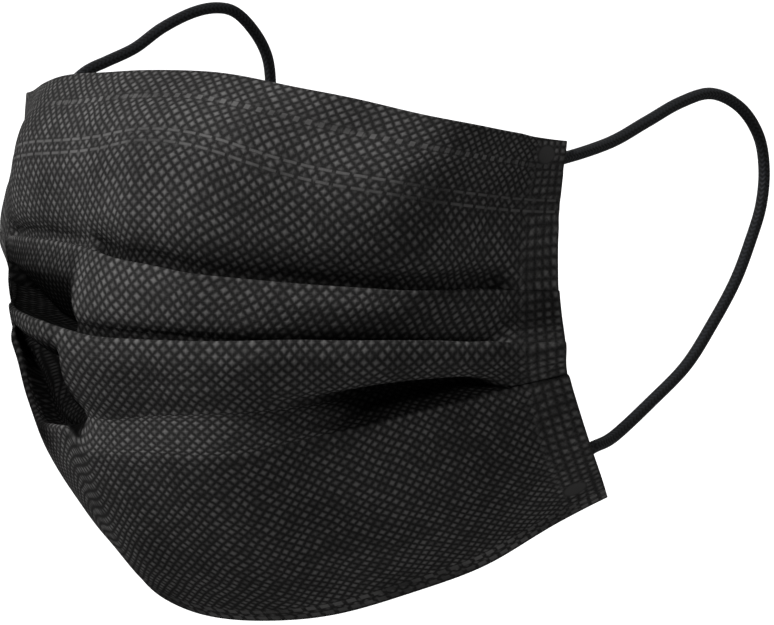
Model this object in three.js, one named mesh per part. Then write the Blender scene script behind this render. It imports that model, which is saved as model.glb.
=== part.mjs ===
// A disposable face mask as worn: one pleated cloth panel, a nose wire in its top hem and two elastic ear loops.
// Millimetres. +Z is up, the mask faces -Y, and the wearer's left is +X.
// The origin is the seat on the nose: the inner face of the top hem, on the centre line.
//
// The panel is drawn in two steps. A smooth form gives the shape that the worn cloth takes, and a path down
// each column of the form says how the cloth runs on it: hem, pleat, pleat, pleat, hem. A place on the form is
// (across, down, out): across from the centre line along the cloth, down from the top edge, and out of the form.
import * as THREE from "three";

// ---- driving dimensions -------------------------------------------------------------------------------------
const HALF_WIDTH = 88; // cloth from the centre line to a side edge
const CLOTH = 1; // wall of the panel: three plies
const GAP = 0.3; // clear space between two layers that lie on each other
const LAYER = CLOTH + GAP; // between the middles of two folded layers
const SIDE_BAND = 12; // welded band along each side edge, where the pleats lie flat
const WIRE = { halfLength: 44, width: 4, thickness: 0.8, down: 13.5 };
const TOP_HEM = 19; // cloth turned in behind the top edge
const TOP_HEM_SPACE = CLOTH + 2 * GAP + WIRE.thickness; // between the middles of the hem's two layers
const BOTTOM_HEM = 6; // cloth turned in behind the bottom edge
const CORD = 2.5; // thickness of an ear loop
const COLUMNS = 32; // strips across the panel
const SAMPLES = 96; // steps down the form between the first section and the last

// The form, one row for each section across it. forward and down place the section on the centre line, from the
// middle of the top edge. frontTurn is the degrees that each half turns back beside the nose, over the first
// frontEnds millimetres across. leftTurn and rightTurn are the degrees that the wearer's left and right cheeks
// turn back after that, and edgeRise is how far the ends stand above the middle.
const SECTIONS = [
  { name: "top_edge", forward: 0, down: 0, frontTurn: 29, frontEnds: 39, leftTurn: 53, rightTurn: 21.5, edgeRise: -17 },
  { name: "nose", forward: 17, down: 13, frontTurn: 24.5, frontEnds: 14, leftTurn: 47.5, rightTurn: 33, edgeRise: -16.5 },
  { name: "pleat_1", forward: 22, down: 34, frontTurn: 32.5, frontEnds: 16, leftTurn: 34.5, rightTurn: 17.5, edgeRise: -10 },
  { name: "pleat_2", forward: 27, down: 47, frontTurn: 40, frontEnds: 34, leftTurn: 16, rightTurn: 17.5, edgeRise: -4 },
  { name: "pleat_3", forward: 23, down: 68, frontTurn: 40, frontEnds: 32, leftTurn: 18, rightTurn: 14, edgeRise: 9 },
  { name: "chin", forward: 10.5, down: 94, frontTurn: 36, frontEnds: 28, leftTurn: 20, rightTurn: 15.5, edgeRise: 18.5 },
  { name: "bottom", forward: -6, down: 111, frontTurn: 37.5, frontEnds: 27.5, leftTurn: 26.5, rightTurn: 22, edgeRise: 19.5 },
];
const CHEEK_TURN = { from: 35, to: 63 }; // across, where the cheek turns
const SEAT = { forward: 5.6, down: 6.2 }; // the origin, from the middle of the top edge

// The pleats, one row for each from the top. section is the one that the folded edge follows. hidden is how far
// the crease lies below that edge at the side bands, and opened how far at the centre, where a negative value
// puts it above the edge. The gapes are how far the pocket stands open: at the centre, beside the wearer's left
// band, and on the wearer's right cheek, where the cloth has buckled.
const PLEATS = [
  { name: "pleat_1", section: 2, hidden: 6, opened: 5, gapeCentre: 1.2, gapeLeft: 0.6, gapeRight: 0.8 },
  { name: "pleat_2", section: 3, hidden: 5, opened: 5, gapeCentre: 1.6, gapeLeft: 1, gapeRight: 8 },
  { name: "pleat_3", section: 4, hidden: 6, opened: -8, gapeCentre: 0.8, gapeLeft: 5, gapeRight: 4 },
];
// How far the wearer's right cheek has sunk between two folded edges.
const HOLLOWS = { panel_1: 1, panel_2: 6.5, panel_3: 12 };

// The ear loops. Each end lies flat along the inner face of its side band, from its weld to the side edge: across
// and down give the middle of the cord at the weld, at the side edge, and nothing in between. The route is where
// the cord hangs between the two side edges, as (x, y, z).
const LOOPS = [
  {
    name: "ear_loop_left",
    side: 1,
    topWeld: { from: 77, down: 3.5, leaves: 4.2 },
    bottomWeld: { from: 77, up: 12.5, leaves: 23 },
    route: [
      [53.5, 74, -13.5],
      [56, 86.5, -11],
      [58.5, 98, -8.5],
      [61, 108.5, -8],
      [64, 117, -12],
      [66.5, 121.5, -18.5],
      [68, 121.5, -25.5],
      [69, 118, -32.5],
      [69, 113, -39],
      [69, 105, -46.5],
      [68, 95.5, -54],
      [67, 85, -60.5],
      [65, 72.5, -65.5],
      [62.5, 59.5, -70.3],
    ],
  },
  {
    name: "ear_loop_right",
    side: -1,
    topWeld: { from: 77, down: 6, leaves: 4 },
    bottomWeld: { from: 77, up: 12.5, leaves: 16 },
    route: [
      [-62, 53, -9.5],
      [-60, 58, -6.5],
      [-58, 63, -5],
      [-55.5, 70, -3],
      [-53, 77, 0.5],
      [-50, 84.5, 3],
      [-47.5, 90.5, 3.5],
      [-45.5, 95.5, 2],
      [-43.5, 100, -2.5],
      [-42, 103, -8],
      [-41.5, 104, -14],
      [-41.5, 103.5, -21],
      [-42.5, 101.5, -29],
      [-44.5, 97, -37.5],
      [-47, 90.5, -45.5],
      [-50, 82.5, -53],
      [-53.5, 73, -60],
      [-57.5, 63, -66],
    ],
  },
];

// ---- small mathematics --------------------------------------------------------------------------------------
const smooth = (t) => {
  const x = Math.min(1, Math.max(0, t));
  return x * x * (3 - 2 * x);
};
const mix = (a, b, t) => a + (b - a) * t;
const radians = THREE.MathUtils.degToRad;

// A natural cubic spline through values[0], values[1], ... at 0, 1, ...
function spline(values) {
  const n = values.length;
  const bend = new Array(n).fill(0); // second derivatives, by the tridiagonal rule 1, 4, 1
  const upper = new Array(n).fill(0);
  const right = new Array(n).fill(0);
  for (let i = 1; i < n - 1; i++) {
    const pivot = 4 - upper[i - 1];
    upper[i] = 1 / pivot;
    right[i] = (6 * (values[i - 1] - 2 * values[i] + values[i + 1]) - right[i - 1]) / pivot;
  }
  for (let i = n - 2; i > 0; i--) bend[i] = right[i] - upper[i] * bend[i + 1];
  return (at) => {
    const i = Math.min(n - 2, Math.max(0, Math.floor(at)));
    const f = at - i;
    const g = 1 - f;
    return g * values[i] + f * values[i + 1] + ((g ** 3 - g) * bend[i] + (f ** 3 - f) * bend[i + 1]) / 6;
  };
}

// ---- the form -----------------------------------------------------------------------------------------------
const sectionSpline = {};
for (const column of ["forward", "down", "frontTurn", "frontEnds", "leftTurn", "rightTurn", "edgeRise"]) {
  sectionSpline[column] = spline(SECTIONS.map((row) => row[column]));
}

// How much of the edge's rise a place has taken, for a share of the way from the centre line to the side edge.
const riseShare = (t) => 0.5 * t * t + 0.5 * smooth(t);

// The section at a level (0 is the first row of SECTIONS) as points at the given distances across. It starts
// straight across on the centre line, and each half's heading turns back by frontTurn and then by its cheek's.
function sectionPoints(level, across) {
  const at = (column) => sectionSpline[column](level);
  const step = 0.5;
  const halfSection = (cheekTurn) => {
    const half = [[0, 0]];
    for (let s = 0; s < HALF_WIDTH; s += step) {
      const middle = s + step / 2;
      const front = at("frontTurn") * smooth(middle / at("frontEnds"));
      const cheek = cheekTurn * smooth((middle - CHEEK_TURN.from) / (CHEEK_TURN.to - CHEEK_TURN.from));
      const heading = radians(front + cheek);
      const lift = (at("edgeRise") * (riseShare((s + step) / HALF_WIDTH) - riseShare(s / HALF_WIDTH))) / step;
      const run = step * Math.sqrt(1 - lift ** 2);
      const [x, y] = half.at(-1);
      half.push([x + run * Math.cos(heading), y + run * Math.sin(heading)]);
    }
    return half;
  };
  const halves = { left: halfSection(at("leftTurn")), right: halfSection(at("rightTurn")) };
  return across.map((s) => {
    const half = s < 0 ? halves.right : halves.left;
    const i = Math.min(half.length - 2, Math.floor(Math.abs(s) / step));
    const f = Math.abs(s) / step - i;
    const x = Math.sign(s) * mix(half[i][0], half[i + 1][0], f);
    const y = mix(half[i][1], half[i + 1][1], f) - at("forward") + SEAT.forward;
    const z = at("edgeRise") * riseShare(Math.abs(s) / HALF_WIDTH) - at("down") + SEAT.down;
    return new THREE.Vector3(x, y, z);
  });
}

// The form's columns. Each knows the distance down to each section and gives the place at (down, out).
function formColumns(across) {
  const last = SECTIONS.length - 1;
  const rows = Array.from({ length: SAMPLES + 1 }, (_, k) => sectionPoints((k * last) / SAMPLES, across));
  return across.map((s, i) => {
    const points = rows.map((row) => row[i]);
    const left = rows.map((row) => row[Math.max(0, i - 1)]);
    const right = rows.map((row) => row[Math.min(across.length - 1, i + 1)]);
    const normals = points.map((_, k) => {
      const down = points[Math.min(SAMPLES, k + 1)].clone().sub(points[Math.max(0, k - 1)]);
      return down.cross(right[k].clone().sub(left[k])).normalize();
    });
    const reach = [0];
    for (let k = 1; k <= SAMPLES; k++) reach.push(reach[k - 1] + points[k].distanceTo(points[k - 1]));
    const place = (down, out) => {
      let k = reach.findIndex((length) => length > down) - 1;
      if (k < 0) k = down <= 0 ? 0 : SAMPLES - 1;
      const f = (down - reach[k]) / (reach[k + 1] - reach[k]);
      const normal = normals[k].clone().lerp(normals[k + 1], Math.min(1, Math.max(0, f)));
      return points[k].clone().lerp(points[k + 1], f).addScaledVector(normal.normalize(), out);
    };
    return { across: s, place, downTo: (section) => reach[(section * SAMPLES) / last] };
  });
}

// ---- the cloth's path down a column -------------------------------------------------------------------------
// 1 on the free cloth and 0 in the side bands.
const freedom = (s) => smooth((HALF_WIDTH - SIDE_BAND - Math.abs(s)) / 14);
// 1 on the centre line and 0 at the side bands.
const centring = (s) => smooth(1 - Math.abs(s) / (HALF_WIDTH - SIDE_BAND));

// One pleat at distance across s, folded edge at down = edge: its ten corners (down, out) from the panel above,
// round the crease, up or down the middle ply, round the folded edge and on to the panel below. The corners of
// a flat pleat and of an opened one are mixed by how far the pleat has opened.
function pleatCorners(pleat, edge, s) {
  const opened = pleat.opened < 0 ? centring(s) : 0;
  const crease = mix(pleat.hidden, pleat.opened, centring(s));
  const hidden = pleat.opened < 0 ? pleat.hidden : crease;
  const beside = s > 0 ? smooth((s - 14) / 30) : smooth((-s - 16) / 12);
  const widest = s > 0 ? pleat.gapeLeft : pleat.gapeRight;
  const gape = freedom(s) * mix(pleat.gapeCentre, widest, beside);
  const [back, front] = [-0.7 * gape, 0.3 * gape];
  const turn = LAYER / 2;
  const flat = [
    [-turn - 0.6, back - LAYER],
    [hidden - turn, back - LAYER],
    [hidden, back - LAYER],
    [hidden, back],
    [hidden - turn, back],
    [turn, front],
    [0, front],
    [0, front + LAYER],
    [turn, front + LAYER],
    [hidden + turn + 0.3, front + LAYER],
  ];
  const open = [
    [pleat.opened - 4, back - 0.2],
    [pleat.opened - 2, back - 0.8],
    [pleat.opened - 0.7, back - 1.2],
    [pleat.opened + 0.7, back - 1.1],
    [pleat.opened + 2, back - 0.6],
    [-2, front + 0.4],
    [-0.7, front + 0.8],
    [0.7, front + 0.8],
    [2, front + 0.6],
    [4, front + 0.3],
  ];
  return flat.map(([down, out], i) => [edge + mix(down, open[i][0], opened), mix(out, open[i][1], opened)]);
}

// Points between two corners of the path, for a panel that leaves a folded edge and dips behind the next one,
// with a hollow of the given depth.
function panelPoints([fromDown, fromOut], [toDown, toOut], shares, hollow) {
  return shares.map((share) => {
    const sunk = hollow * Math.sin(Math.PI * Math.min(1, 1.15 * share)) ** 2;
    return [mix(fromDown, toDown, share), mix(fromOut, toOut, smooth(share)) - sunk];
  });
}

// The middle of the cloth down one column, as (down, out) corners from the inner end of the top hem to the
// inner end of the bottom hem.
function clothPath(column) {
  const s = column.across;
  const inner = -TOP_HEM_SPACE;
  const bottom = column.downTo(SECTIONS.length - 1);
  const wireEdges = [WIRE.down - 2.2, WIRE.down + 2.2];
  const cheek = s < 0 ? smooth((-s - 18) / 8) * freedom(s) : 0;
  const pleats = PLEATS.map((pleat) => pleatCorners(pleat, column.downTo(pleat.section), s));
  const topHem = [
    [TOP_HEM, inner],
    [wireEdges[1], inner],
    [wireEdges[0], inner],
    [5, inner],
    [1, inner],
    [0, inner + 0.5],
    [-0.4, inner / 2],
    [0, -0.5],
    [1, 0],
    [5, 0],
    [wireEdges[0], 0],
    [wireEdges[1], 0],
    [TOP_HEM, 0],
  ];
  const bottomHem = [
    [bottom - BOTTOM_HEM, 0],
    [bottom - 1, 0],
    [bottom, -0.2],
    [bottom, 0.2 - LAYER],
    [bottom - 1, -LAYER],
    [bottom - BOTTOM_HEM, -LAYER],
  ];
  return [
    ...topHem,
    ...panelPoints(topHem.at(-1), pleats[0][0], [0.35, 0.6, 0.8], cheek * HOLLOWS.panel_1),
    ...pleats[0],
    ...panelPoints(pleats[0].at(-1), pleats[1][0], [0.3, 0.65], cheek * HOLLOWS.panel_2),
    ...pleats[1],
    ...panelPoints(pleats[1].at(-1), pleats[2][0], [0.3, 0.65], cheek * HOLLOWS.panel_3),
    ...pleats[2],
    ...panelPoints(pleats[2].at(-1), bottomHem[0], [0.15, 0.4, 0.7], 0),
    ...bottomHem,
  ];
}

// The path moved sideways by a distance, each corner along the line that halves its angle.
function sidePath(path, distance) {
  const headings = path.slice(1).map(([down, out], i) => {
    const [a, b] = [down - path[i][0], out - path[i][1]];
    const length = Math.hypot(a, b);
    return [a / length, b / length];
  });
  return path.map(([down, out], i) => {
    const before = headings[Math.max(0, i - 1)];
    const after = headings[Math.min(headings.length - 1, i)];
    const sum = [before[0] + after[0], before[1] + after[1]];
    const length = Math.hypot(...sum);
    const reach = distance / Math.max(0.6, length / 2);
    return [down - (reach * sum[1]) / length, out + (reach * sum[0]) / length];
  });
}

// ---- meshes -------------------------------------------------------------------------------------------------
// A closed wall between two grids of points, grid[column][row], one the outer face and one the inner face.
function wallGeometry(outer, inner) {
  const [columns, rows] = [outer.length, outer[0].length];
  const points = [...outer.flat(), ...inner.flat()];
  const at = (side, i, j) => side * columns * rows + i * rows + j;
  const faces = [];
  const quad = (a, b, c, d) => faces.push(a, b, c, a, c, d);
  for (let i = 0; i < columns - 1; i++) {
    for (let j = 0; j < rows - 1; j++) {
      quad(at(0, i, j), at(0, i, j + 1), at(0, i + 1, j + 1), at(0, i + 1, j));
      quad(at(1, i, j), at(1, i + 1, j), at(1, i + 1, j + 1), at(1, i, j + 1));
    }
    quad(at(0, i, 0), at(0, i + 1, 0), at(1, i + 1, 0), at(1, i, 0));
    quad(at(0, i, rows - 1), at(1, i, rows - 1), at(1, i + 1, rows - 1), at(0, i + 1, rows - 1));
  }
  for (let j = 0; j < rows - 1; j++) {
    quad(at(0, 0, j), at(1, 0, j), at(1, 0, j + 1), at(0, 0, j + 1));
    quad(at(0, columns - 1, j), at(0, columns - 1, j + 1), at(1, columns - 1, j + 1), at(1, columns - 1, j));
  }
  const geometry = new THREE.BufferGeometry().setFromPoints(points);
  geometry.setIndex(faces);
  geometry.computeVertexNormals();
  return geometry;
}

function panelGeometry(columns) {
  const grid = (distance) =>
    columns.map((column) => sidePath(clothPath(column), distance).map(([down, out]) => column.place(down, out)));
  return wallGeometry(grid(CLOTH / 2), grid(-CLOTH / 2));
}

// The flat nose wire lies midway between the two layers of the top hem.
function wireGeometry(columns) {
  const edges = [WIRE.down - WIRE.width / 2, WIRE.down + WIRE.width / 2];
  const held = columns.filter((column) => Math.abs(column.across) <= WIRE.halfLength);
  const grid = (side) =>
    held.map((column) =>
      edges.map((down) => column.place(down, -TOP_HEM_SPACE / 2 + (side * WIRE.thickness) / 2)),
    );
  return wallGeometry(grid(1), grid(-1));
}

// An ear loop's whole route: along the band to the side edge, round, and back along the band. Its middle lies a
// gap behind the cloth: behind the turned-in hem at the top, and behind the single cloth at the bottom.
function loopRoute({ side, topWeld, bottomWeld, route }) {
  const behind = CLOTH / 2 + GAP + CORD / 2;
  const onBand = (share, weld) => {
    const s = side * mix(weld.from, HALF_WIDTH, share);
    const column = formColumns([s - 0.1, s, s + 0.1])[1];
    if (weld.down !== undefined) {
      return column.place(mix(weld.down, weld.leaves, share), -TOP_HEM_SPACE - behind);
    }
    return column.place(column.downTo(SECTIONS.length - 1) - mix(weld.up, weld.leaves, share), -behind);
  };
  const shares = [0, 0.5, 1];
  return [
    ...shares.map((share) => onBand(share, topWeld)),
    ...route.map((point) => new THREE.Vector3(...point)),
    ...shares.toReversed().map((share) => onBand(share, bottomWeld)),
  ];
}

// A round cord along a smooth curve through its route.
function cordGeometry(route) {
  const curve = new THREE.CatmullRomCurve3(route);
  const section = new THREE.Shape();
  for (let k = 0; k < 8; k++) {
    const angle = (k * Math.PI) / 4;
    const [x, y] = [(CORD / 2) * Math.cos(angle), (CORD / 2) * Math.sin(angle)];
    if (k) section.lineTo(x, y);
    else section.moveTo(x, y);
  }
  section.closePath();
  const steps = Math.round(curve.getLength() / (1.2 * CORD));
  return new THREE.ExtrudeGeometry(section, { extrudePath: curve, steps, curveSegments: 1 });
}

function named(name, geometry, material) {
  const mesh = new THREE.Mesh(geometry, material);
  mesh.name = name;
  return mesh;
}

// ---- the mask -----------------------------------------------------------------------------------------------
const cloth = new THREE.MeshStandardMaterial({ color: 0x17161a, roughness: 0.75, metalness: 0 });
const elastic = new THREE.MeshStandardMaterial({ color: 0x0f1013, roughness: 0.9, metalness: 0 });
const plastic = new THREE.MeshStandardMaterial({ color: 0xd8d8d4, roughness: 0.5, metalness: 0 });

const across = Array.from({ length: COLUMNS + 1 }, (_, i) => ((2 * i) / COLUMNS - 1) * HALF_WIDTH);
const columns = formColumns(across);

const mask = new THREE.Group();
mask.add(named("mask_panel", panelGeometry(columns), cloth));
mask.add(named("nose_wire", wireGeometry(columns), plastic));
for (const loop of LOOPS) mask.add(named(loop.name, cordGeometry(loopRoute(loop)), elastic));

export default mask;
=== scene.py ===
"""A disposable face mask as worn: a pleated nonwoven cloth panel, the wire in its top hem and two elastic ear loops.

Lengths are worked out in millimetres and scaled by MM where they enter a mesh. +Z is up, the mask faces -Y and the
wearer's left is +X. The cloth is drawn in two steps. A smooth form gives the shape that the worn cloth takes, and
a path down each column of the form says how the cloth runs on it: hem, pleat, pleat, pleat, hem. A place on the
form is (across, down, out): across from the centre line, down from the top edge, and out of the form.
"""

import math

import bpy
import numpy as np
from mathutils import Matrix, Vector


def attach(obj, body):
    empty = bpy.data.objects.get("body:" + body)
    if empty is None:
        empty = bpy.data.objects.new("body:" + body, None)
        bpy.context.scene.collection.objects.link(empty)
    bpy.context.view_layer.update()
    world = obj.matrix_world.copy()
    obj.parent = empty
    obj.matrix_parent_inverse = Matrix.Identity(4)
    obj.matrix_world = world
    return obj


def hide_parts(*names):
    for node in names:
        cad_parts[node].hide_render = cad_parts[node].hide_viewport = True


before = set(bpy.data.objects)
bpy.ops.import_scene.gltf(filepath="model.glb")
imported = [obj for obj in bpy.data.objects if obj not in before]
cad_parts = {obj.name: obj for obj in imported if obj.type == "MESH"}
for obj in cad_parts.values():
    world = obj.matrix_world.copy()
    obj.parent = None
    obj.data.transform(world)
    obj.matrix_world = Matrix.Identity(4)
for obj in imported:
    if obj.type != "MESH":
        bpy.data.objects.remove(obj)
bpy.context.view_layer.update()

MM = 0.001

# ---- driving dimensions, in millimetres -------------------------------------------------------------------------
HALF_WIDTH = 88.0  # cloth from the centre line to a side edge
PLIES = 0.45  # three plies of nonwoven lying together
LAYER = 0.62  # between the middles of two folded layers of free cloth
BAND = 12.0  # welded band along each side edge
CORD = 2.5  # thickness of an ear loop
PLEATS_HIDE = (6.0, 5.0)  # how far below its folded edge the crease of the first and the second pleat lies
BUCKLE_DEPTHS = (9.5, 13.0)  # how far the buckled cheek sinks below the first pleat and below the second one

# The form, one row for each section across it, from the top edge to the bottom edge.
SECTION_COLUMNS = ("forward", "down", "front_turn", "front_ends", "left_turn", "right_turn", "edge_rise")
SECTIONS = np.array(
    [
        (0, 0, 29, 39, 53, 21.5, -17),  # top edge
        (17, 13, 24.5, 14, 47.5, 33, -16.5),  # nose
        (22, 34, 32.5, 16, 34.5, 17.5, -10),  # first pleat
        (27, 47, 40, 34, 16, 17.5, -4),  # second pleat
        (23, 68, 40, 32, 18, 14, 9),  # third pleat
        (10.5, 94, 36, 28, 20, 15.5, 18.5),  # chin
        (-6, 111, 37.5, 27.5, 26.5, 22, 19.5),  # bottom edge
    ],
    float,
)
# How far below its section each folded edge lies, and where the crease above the third one lies: how far below its
# section and how deep behind the form. The wearer's right cheek, at negative across, has buckled.
FOLD_COLUMNS = ("across", "first", "second", "third", "crease", "depth")
FOLDS = np.array(
    [
        (-88, 0.0, 0.0, 0.0, 6.0, 0.6),
        (-76, 0.0, 0.0, 0.0, 6.0, 0.8),
        (-60, -1.0, 0.7, 7.2, 10.5, 3.5),
        (-44, -1.4, 0.7, 9.5, 13.0, 4.5),
        (-30, -1.4, 0.3, 5.0, 8.5, 5.0),
        (-24, -1.4, 0.1, 3.4, 4.2, 5.0),
        (-18, -1.2, 0.3, 6.4, 0.0, 2.6),
        (-10, -0.7, 0.6, 4.8, -2.2, 1.6),
        (0, -0.2, 0.1, 2.6, -4.9, 1.4),
        (10, 0.6, -0.7, 2.0, -6.3, 1.5),
        (20, 1.0, -1.4, 1.6, -6.7, 1.8),
        (30, 0.9, -1.8, -0.1, -6.2, 2.8),
        (40, 0.3, -1.8, -0.7, -4.9, 4.8),
        (50, -0.2, -1.8, -1.3, -3.3, 7.6),
        (60, -0.8, -1.4, -1.3, -2.0, 7.5),
        (66, -1.0, -0.9, -1.1, -1.2, 6.0),
        (71, -0.9, -0.8, -0.9, 0.0, 3.0),
        (76, -0.8, -0.6, -0.8, 3.6, 0.8),
        (88, -0.6, 0.0, -0.4, 6.0, 0.6),
    ],
    float,
)
CHEEK_TURN = (35.0, 63.0)  # across, where the cheek turns
SEAT = (5.6, 6.2)  # the origin, forward and down from the middle of the top edge


# ---- small mathematics ------------------------------------------------------------------------------------------
def smooth(t):
    """3 t^2 - 2 t^3 between 0 and 1, and flat outside."""
    t = np.clip(t, 0.0, 1.0)
    return t * t * (3 - 2 * t)


def mix(a, b, t):
    """a where t is 0 and b where t is 1."""
    return a + (b - a) * t


def bell(x, centre, width):
    """exp(-((x - centre) / width)^2)."""
    return np.exp(-(((x - centre) / width) ** 2))


def natural_spline(rows, at):
    """The natural cubic spline through rows 0, 1, 2, ..., read at each number of the array `at`."""
    n = len(rows)
    rule = np.eye(n)
    right = np.zeros_like(rows)
    inner = np.arange(1, n - 1)
    rule[inner, inner - 1], rule[inner, inner], rule[inner, inner + 1] = 1, 4, 1
    right[inner] = 6 * (rows[:-2] - 2 * rows[1:-1] + rows[2:])
    bend = np.linalg.solve(rule, right)
    i = np.clip(at.astype(int), 0, n - 2)
    f = (at - i)[:, None]
    g = 1 - f
    return g * rows[i] + f * rows[i + 1] + ((g**3 - g) * bend[i] + (f**3 - f) * bend[i + 1]) / 6


def read_folds(across):
    """The columns of FOLDS at each distance across, by cubic Hermite pieces whose tangents are the slopes between
    the neighbours."""
    at, values = FOLDS[:, 0], FOLDS[:, 1:]
    tangents = np.gradient(values, at, axis=0)
    k = np.clip(np.searchsorted(at, across, side="right") - 1, 0, len(at) - 2)
    wide = (at[k + 1] - at[k])[:, None]
    t = (across[:, None] - at[k][:, None]) / wide
    start, end = values[k], values[k + 1]
    cubic = start * (2 * t**3 - 3 * t**2 + 1) + end * (3 * t**2 - 2 * t**3)
    cubic += wide * (tangents[k] * (t**3 - 2 * t**2 + t) + tangents[k + 1] * (t**3 - t**2))
    return dict(zip(FOLD_COLUMNS[1:], cubic.T))


# ---- the form ---------------------------------------------------------------------------------------------------
LEVELS = 241  # rows of the form, from its first section to its last
FORM_STEP = 0.5  # millimetres from one step across the form to the next
NORMAL_STEP = 0.3  # millimetres to each side that a normal looks


def running_sum(steps):
    """Sums from 0 along the last axis."""
    return np.concatenate([np.zeros(steps.shape[:-1] + (1,)), np.cumsum(steps, -1)], -1)


def run_along(points):
    """How far along axis 0 each point lies: the sum of the straight steps before it."""
    steps = np.linalg.norm(np.diff(points, axis=0), axis=-1)
    return np.concatenate([np.zeros_like(steps[:1]), np.cumsum(steps, 0)])


def rise_share(t):
    """How much of the edge's rise a place has taken at the share t of the way to the side edge."""
    return 0.5 * t * t + 0.5 * smooth(t)


def form_points(across, level):
    """Points of the form [level, across]: each half of a section starts straight across on the centre line, its
    heading turns back by front_turn and then by the cheek's turn, and the curve is the sum of its short steps."""
    table = dict(zip(SECTION_COLUMNS, natural_spline(SECTIONS, level).T[:, :, None]))
    edges = np.arange(0, HALF_WIDTH + FORM_STEP / 2, FORM_STEP)
    middle = edges[:-1] + FORM_STEP / 2
    front = table["front_turn"] * smooth(middle / table["front_ends"])
    cheek = smooth((middle - CHEEK_TURN[0]) / (CHEEK_TURN[1] - CHEEK_TURN[0]))
    lift = table["edge_rise"] * np.diff(rise_share(edges / HALF_WIDTH)) / FORM_STEP
    run = FORM_STEP * np.sqrt(1 - lift**2)
    reach = np.abs(across) / FORM_STEP
    i = np.clip(reach.astype(int), 0, len(middle) - 1)
    f = reach - i
    halves = []
    for turn in ("left_turn", "right_turn"):
        heading = np.radians(front + table[turn] * cheek)
        x, y = running_sum(run * np.cos(heading)), running_sum(run * np.sin(heading))
        halves.append((mix(x[:, i], x[:, i + 1], f), mix(y[:, i], y[:, i + 1], f)))
    (left_x, left_y), (right_x, right_y) = halves
    x = np.where(across < 0, -right_x, left_x)
    y = np.where(across < 0, right_y, left_y) - table["forward"] + SEAT[0]
    z = table["edge_rise"] * rise_share(np.abs(across) / HALF_WIDTH) - table["down"] + SEAT[1]
    return np.stack([x, y, z], -1)


class Form:
    """The form's columns at the distances `across`: how far down each level lies, and the place at (down, out)."""

    def __init__(self, across):
        self.across = across
        self.level = np.linspace(0, len(SECTIONS) - 1, LEVELS)
        self.points = form_points(across, self.level)
        beside = [np.clip(across + step, -HALF_WIDTH, HALF_WIDTH) for step in (NORMAL_STEP, -NORMAL_STEP)]
        side = form_points(beside[0], self.level) - form_points(beside[1], self.level)
        normals = np.cross(np.gradient(self.points, axis=0), side)
        self.normals = normals / np.linalg.norm(normals, axis=-1, keepdims=True)
        self.reach = run_along(self.points)

    def down_to(self, section):
        """How far down each column the section lies."""
        return self.reach[section * (len(self.level) - 1) // (len(SECTIONS) - 1)]

    def place(self, down, out):
        """Points [row, column] at `down` along each column and `out` along the form's normal."""
        columns = np.arange(len(self.across))[None, :]
        k = np.clip((self.reach[:, None, :] <= down[None]).sum(0) - 1, 0, len(self.level) - 2)
        f = (down - self.reach[k, columns]) / (self.reach[k + 1, columns] - self.reach[k, columns])
        f = f[..., None]
        normal = mix(self.normals[k, columns], self.normals[k + 1, columns], np.clip(f, 0, 1))
        normal /= np.linalg.norm(normal, axis=-1, keepdims=True)
        return mix(self.points[k, columns], self.points[k + 1, columns], f) + normal * out[..., None]


# ---- the cloth's path down the columns --------------------------------------------------------------------------
BAND_EASE = 5.5  # free cloth beside a side band over which the folds open to their full depth
BAND_LAYER = 0.14  # between the middles of two folded layers where the band welds them together


def freedom(s):
    """1 on the free cloth and 0 in the side bands."""
    return smooth((HALF_WIDTH - BAND - np.abs(s)) / BAND_EASE)


def folded_pleat(edge, hidden, front, back, layer):
    """Ten corners (down, out) of a pleat that lies folded: the panel above runs to the crease at edge + hidden,
    the middle ply comes back up to the folded edge, and the panel below starts there, on the outside."""
    turn = 0.5 * layer
    corners = [
        (-turn - 0.8, back - layer),
        (hidden - 2 * turn, back - layer),
        (hidden, back - layer),
        (hidden, back),
        (hidden - 2 * turn, back),
        (2 * turn, front),
        (0, front),
        (0, front + layer),
        (2 * turn, front + layer),
        (4 * turn + 1.2, front + layer),
    ]
    return [(edge + down, out + 0 * edge) for down, out in corners]


def opened_pleat(edge, crease, depth, front, sunk, layer):
    """Ten corners (down, out) of a pleat whose crease lies anywhere about its folded edge: behind and below it where
    the pleat is closed, and above it where the middle ply has swung out and shows. The more it is `sunk`, the closer
    to the folded edge it falls back."""
    shut = smooth((crease - edge) / 5.0)
    fold = layer * shut
    return [
        (crease - 2.4, -depth - 1.3 * fold + 0.35 * (1 - shut)),
        (crease - 1.0, -depth - 1.3 * fold + 0.1),
        (crease + 0.25 * fold, -depth - 1.6 * fold),
        (crease + 0.25 * fold, -depth),
        (mix(crease, edge, 0.2), mix(mix(-depth, front, 0.2), -depth, sunk)),
        (mix(crease, edge, mix(0.8, 0.97, sunk)), mix(mix(-depth, front, 0.85), -0.9 * depth, sunk)),
        (edge - 0.25 * fold, front),
        (edge - 0.25 * fold, front + 1.5 * fold),
        (edge + 1.0, front + 1.5 * fold + 0.1),
        (edge + 2.6, front + 1.5 * fold),
    ]


def between(start, end, shares, profile):
    """Corners at the given shares of the way down from one corner to another, with out = profile(share)."""
    return [(mix(start[0], end[0], share), profile(share) + 0 * start[0]) for share in shares]


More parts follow.
